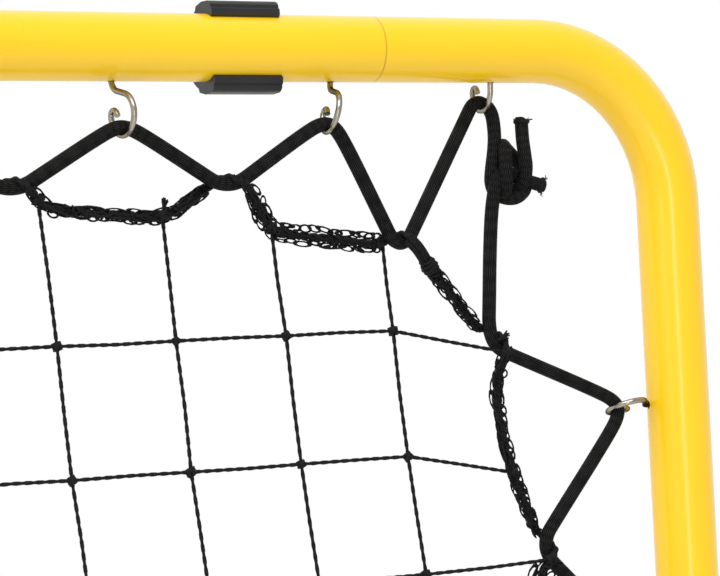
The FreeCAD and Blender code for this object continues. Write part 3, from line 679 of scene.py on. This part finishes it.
def small_knot(size):
    """A twine knot: three turns lying across each other, pulled tight."""
    turns = []
    for tilt, spin, wide in ((0.5, 0.4, 1.0), (-0.7, 1.9, 0.9), (0.1, 2.9, 0.8)):
        turn = torus(0.5, 0.30, 7, 4)
        turn.scale = (size * 0.62 * wide, size * 0.56 * wide, size * 0.66)
        turn.rotation_euler = (math.pi / 2 + tilt, 0.3 * tilt, spin)
        turns.append(settle(turn))
    knot = join("net_knot", turns)
    only(knot)
    bpy.ops.object.shade_smooth()
    return knot


def set_down(pattern, place, size_range):
    """A copy of a knot at a place of the net, turned and sized by chance."""
    knot = copy_of(pattern)
    knot.scale = [chance.uniform(*size_range)] * 3
    knot.rotation_euler = (chance.uniform(-0.5, 0.5), chance.uniform(-0.6, 0.6), chance.uniform(0, 0.8))
    knot.location = from_corner(*place)
    return settle(knot)


knot_size = 0.0052
pattern = small_knot(knot_size)
knots = [set_down(pattern, flat_place(crossing(column, row)), (0.92, 1.12))
         for column in range(columns) for row in range(rows)]
knots += [set_down(pattern, place, (1.1, 1.5)) for place in tie_places]
bpy.data.objects.remove(pattern)
net_knots = join("net_knots", knots)

# Cut ends of twine beside some of the ties, alike in the four quarters: place, way, reach, count.
cut_ends = [((0.2232, 0.0610, -0.001), (0.10, 1.0, -0.2), 0.0062, 8),
            ((0.0858, 0.1126, -0.004), (1.0, 0.55, -0.3), 0.0050, 14),
            ((0.0668, 0.1985, -0.004), (0.9, -0.5, -0.3), 0.0060, 8),
            ((0.3579, 0.0625, -0.001), (-0.3, 1.0, 0.1), 0.0055, 8)]
twine_ends = []
for side in (1, -1):
    for end in (1, -1):
        for (inward, down, back), way, reach, count in cut_ends:
            x = -inward if side == 1 else inward - frame_width
            up = -down if end == 1 else down - frame_height
            twine_ends.append(wisp((x, up, back), (way[0] * side, way[1] * end, way[2]), reach, count))
twine_ends = join("net_twine_ends", twine_ends)
for piece in (net_columns, net_rows, net_knots, twine_ends):
    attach(piece, "net_frame")
    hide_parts("net_mesh")


# ---------------------------------------------------------------- shader maths
class Strand:
    """A node's output that takes arithmetic, each step a Math node of the same material."""

    def __init__(self, finish, socket):
        self.finish = finish
        self.socket = socket

    def maths(self, operation, *others):
        return self.finish.node("Math", {"operation": operation}, [self, *others])

    def __add__(self, other):
        return self.maths("ADD", other)

    def __sub__(self, other):
        return self.maths("SUBTRACT", other)

    def __rsub__(self, other):
        return self.finish.node("Math", {"operation": "SUBTRACT"}, [other, self])

    def __mul__(self, other):
        return self.maths("MULTIPLY", other)

    __radd__ = __add__
    __rmul__ = __mul__


class Finish:
    """A procedural material on one Principled shader."""

    def __init__(self, name, colour, roughness, metallic=0.0, coat=0.0, specular=0.5):
        self.material = bpy.data.materials.new(name)
        self.material.use_nodes = True
        self.tree = self.material.node_tree
        self.shader = self.tree.nodes["Principled BSDF"]
        self.shader.inputs["Base Color"].default_value = (*colour, 1.0)
        self.shader.inputs["Roughness"].default_value = roughness
        self.shader.inputs["Metallic"].default_value = metallic
        self.shader.inputs["Coat Weight"].default_value = coat
        self.shader.inputs["Coat Roughness"].default_value = 0.20
        self.shader.inputs["Specular IOR Level"].default_value = specular

    def node(self, kind, settings, values=(), output=0):
        """A node with its settings first, then its inputs by order or by name."""
        made = self.tree.nodes.new("ShaderNode" + kind)
        for key, value in settings.items():
            setattr(made, key, value)
        pairs = values.items() if isinstance(values, dict) else enumerate(values)
        for key, value in pairs:
            if isinstance(value, Strand):
                self.tree.links.new(value.socket, made.inputs[key])
            else:
                made.inputs[key].default_value = value
        return Strand(self, made.outputs[output])

    def place(self, along="Object"):
        return self.node("TexCoord", {}, output=along)

    def parts(self, vector):
        split = self.tree.nodes.new("ShaderNodeSeparateXYZ")
        self.tree.links.new(vector.socket, split.inputs[0])
        return [Strand(self, socket) for socket in split.outputs]

    def stretched(self, vector, scale):
        return self.node("VectorMath", {"operation": "MULTIPLY"}, [vector, scale])

    def noise(self, vector, scale, detail=2.0):
        return self.node("TexNoise", {}, {"Vector": vector, "Scale": scale, "Detail": detail})

    def between(self, factor, first, second):
        return self.node("Mix", {"data_type": "RGBA"},
                         {0: factor, 6: (*first, 1.0) if isinstance(first, tuple) else first,
                          7: (*second, 1.0) if isinstance(second, tuple) else second}, output=2)

    def ramp(self, factor, low, high):
        """0 below low, 1 above high."""
        return self.node("MapRange", {"interpolation_type": "SMOOTHSTEP"},
                         {"Value": factor, "From Min": low, "From Max": high})

    def feed(self, socket, value):
        self.tree.links.new(value.socket, self.shader.inputs[socket])

    def bump(self, height, distance, strength=1.0):
        self.feed("Normal", self.node("Bump", {}, {"Height": height, "Distance": distance,
                                                   "Strength": strength}))


# ---------------------------------------------------------------- finishes
def powder_coat():
    coat = Finish("yellow_powder_coat", (0.93, 0.58, 0.003), 0.30, coat=0.45, specular=0.42)
    place = coat.place()
    orange_peel = coat.noise(place, 420.0, 3.0)
    cloud = coat.noise(place, 14.0, 2.0)
    x = coat.parts(place)[0]
    # Painted shade: a thin line round the tube at each seam of the top bar, where the seam's shadow
    # falls; the bump presses the same line in as a groove.
    off_joint = (x.maths("ABSOLUTE") - (frame_width / 2 - corner_stub)).maths("ABSOLUTE")
    joint_groove_and_shade = 1 - coat.ramp(off_joint, 0.0001, 0.0005)
    colour = coat.between(cloud, (0.92, 0.555, 0.002), (0.95, 0.60, 0.004))
    # Painted shade: the yellow is darkened along that line, standing in for the shadow in the seam.
    coat.feed("Base Color", coat.between(joint_groove_and_shade * 0.7, colour, (0.45, 0.25, 0.004)))
    coat.feed("Roughness", coat.ramp(cloud, 0.2, 0.8) * 0.07 + 0.27)
    coat.bump(orange_peel * 0.6 - joint_groove_and_shade * 2.0, 0.00006, 0.6)
    return coat.material


def plated(name, colour, roughness, edge_shade_tint):
    metal = Finish(name, colour, roughness, metallic=1.0)
    place = metal.place()
    stain = metal.noise(place, 90.0, 4.0)
    drawn = metal.noise(metal.stretched(place, (1.0, 1.0, 0.15)), 1500.0)
    metal.feed("Roughness", metal.ramp(stain, 0.3, 0.75) * 0.18 + roughness)
    metal.feed("Base Color", metal.between(metal.ramp(stain, 0.5, 0.8),
                                           colour, tuple(0.72 * c for c in colour)))
    metal.bump(drawn, 0.00002, 0.5)
    # Painted shade on the reflections: the specular tint darkens what the metal mirrors at grazing
    # angles, so the nickel wire's rims show dark as if dark surroundings were mirrored there; on the
    # zinc it darkens them only a little.
    metal.shader.inputs["Specular Tint"].default_value = (*edge_shade_tint, 1.0)
    return metal.material


def moulded_plastic():
    plastic = Finish("black_plastic", (0.012, 0.012, 0.013), 0.40, specular=0.42)
    place = plastic.place()
    grain = plastic.noise(place, 2600.0, 2.0)
    smear = plastic.noise(place, 60.0, 3.0)
    plastic.feed("Roughness", plastic.ramp(smear, 0.3, 0.8) * 0.16 + 0.36)
    plastic.feed("Base Color", plastic.between(smear, (0.009, 0.009, 0.010), (0.016, 0.016, 0.0175)))
    plastic.bump(grain, 0.00003, 0.5)
    return plastic.material


def braided_sheath():
    """Fine ribs along the cord, crossed by the braid's slant, with painted highlights on the ribs and
    painted shade between them; U runs along, V round.
    """
    sheath = Finish("braided_sheath", (0.006, 0.006, 0.006), 0.62, specular=0.07)
    u, v = sheath.parts(sheath.place("UV"))[:2]
    turns = 4.3 / 0.020         # the cord's length over the length of one turn of the braid
    ribs = 22.0
    slant = (v * ribs + u * (turns * 2)) * (2 * math.pi)
    other = (v * ribs - u * (turns * 2)) * (2 * math.pi)
    braid = slant.maths("SINE") * 0.6 + other.maths("SINE") * 0.4
    along = sheath.node("CombineXYZ", {}, [u * 1100.0, v * 60.0, 0.0])
    fibre = sheath.noise(along, 1.0, 3.0)
    # Painted highlight and shade: the braid's ribs are painted paler and the hollows between them
    # darker, as if lit from outside; the fibre noise adds the yarn's own random tone.
    rib_highlight_and_fibre_tone = sheath.ramp(braid * 0.5 + fibre, 0.35, 1.3)
    sheath.feed("Base Color", sheath.between(rib_highlight_and_fibre_tone, (0.0030, 0.0030, 0.0031), (0.037, 0.037, 0.0375)))
    sheath.bump(braid * 0.5 + fibre, 0.00025, 0.8)
    return sheath.material


def black_twine(name, low, high, grain):
    twine = Finish(name, low, 0.72, specular=0.14)
    place = twine.place()
    fibre = twine.noise(place, grain, 3.0)
    twine.feed("Base Color", twine.between(twine.ramp(fibre, 0.35, 0.75), low, high))
    twine.feed("Roughness", fibre * 0.25 + 0.55)
    twine.bump(fibre, 0.00012, 0.8)
    return twine.material


def finish_piece(piece, material):
    piece.data.materials.clear()
    piece.data.materials.append(material)


yellow = powder_coat()
# The last colour of each is its specular tint: painted shade on the grazing reflections, strong on the
# nickel wire.
zinc = plated("zinc_plate", (0.55, 0.55, 0.54), 0.30, (0.8, 0.8, 0.8))
nickel = plated("nickel_plate", (0.40, 0.37, 0.31), 0.13, (0.08, 0.07, 0.06))
plastic = moulded_plastic()
sheath = braided_sheath()
twine = black_twine("net_twine_black", (0.004, 0.004, 0.0042), (0.015, 0.015, 0.016), 1500.0)
yarn = black_twine("border_yarn_black", (0.0035, 0.0035, 0.0037), (0.014, 0.014, 0.015), 2200.0)

finishes = {"frame_paint": yellow, "zinc": zinc, "nickel_wire": nickel, "black_plastic": plastic,
            "elastic_cord": sheath, "net_twine": twine}
for part in frame["record"]["subparts"]:
    finish_piece(frame["nodes"][part["node"]], finishes[part["material_slot"]])
finish_piece(lacing, sheath)
finish_piece(cord_ends, yarn)
for piece in border_pieces:
    finish_piece(piece, yarn)
for piece in (net_columns, net_rows, net_knots, twine_ends):
    finish_piece(piece, twine)


# ---------------------------------------------------------------- floor and light
nothing_selected()
bpy.ops.mesh.primitive_circle_add(vertices=96, radius=3.2, fill_type="NGON")
floor = bpy.context.object
floor.name = "floor"
floor.location.z = cad_box[0][2] - 0.0002
settle(floor)
studio = Finish("pale_floor", (0.82, 0.82, 0.81), 0.7)
studio.feed("Base Color", studio.between(studio.noise(studio.place(), 3.0), (0.80, 0.80, 0.79),
                                         (0.84, 0.84, 0.83)))
finish_piece(floor, studio.material)

world = bpy.data.worlds.new("studio")
bpy.context.scene.world = world
world.use_nodes = True
sky = world.node_tree.nodes["Background"]
sky.inputs["Strength"].default_value = 1.0
# White before the camera and a softer grey behind it, so that plated wire shows its roundness.
towards = world.node_tree.nodes.new("ShaderNodeTexCoord")
split = world.node_tree.nodes.new("ShaderNodeSeparateXYZ")
fade = world.node_tree.nodes.new("ShaderNodeMapRange")
fade.interpolation_type = "SMOOTHSTEP"
fade.inputs["From Min"].default_value = -0.45
fade.inputs["From Max"].default_value = 0.25
fade.inputs["To Min"].default_value = 0.62
fade.inputs["To Max"].default_value = 1.0
world.node_tree.links.new(towards.outputs["Generated"], split.inputs[0])
world.node_tree.links.new(split.outputs["Y"], fade.inputs["Value"])
world.node_tree.links.new(fade.outputs[0], sky.inputs["Color"])
bpy.context.scene.view_settings.view_transform = "Standard"


def softbox(name, place, aim, size, power):
    bpy.ops.object.light_add(type="AREA", location=place)
    lamp = bpy.context.object
    lamp.name = name
    lamp.data.shape = "RECTANGLE"
    lamp.data.size, lamp.data.size_y = size
    lamp.data.energy = power
    lamp.rotation_euler = (Vector(aim) - Vector(place)).to_track_quat("-Z", "Y").to_euler()
    return lamp


softbox("overhead", (-0.55, -1.6, 3.1), (0.2, -0.3, 0.9), (2.6, 1.3), 50.0)
softbox("front_right", (-0.35, -2.6, 0.9), (0.4, -0.3, 0.6), (0.35, 1.6), 8.0)
softbox("front_left", (-1.9, -1.7, 1.6), (0.3, -0.2, 0.7), (0.9, 1.6), 4.0)
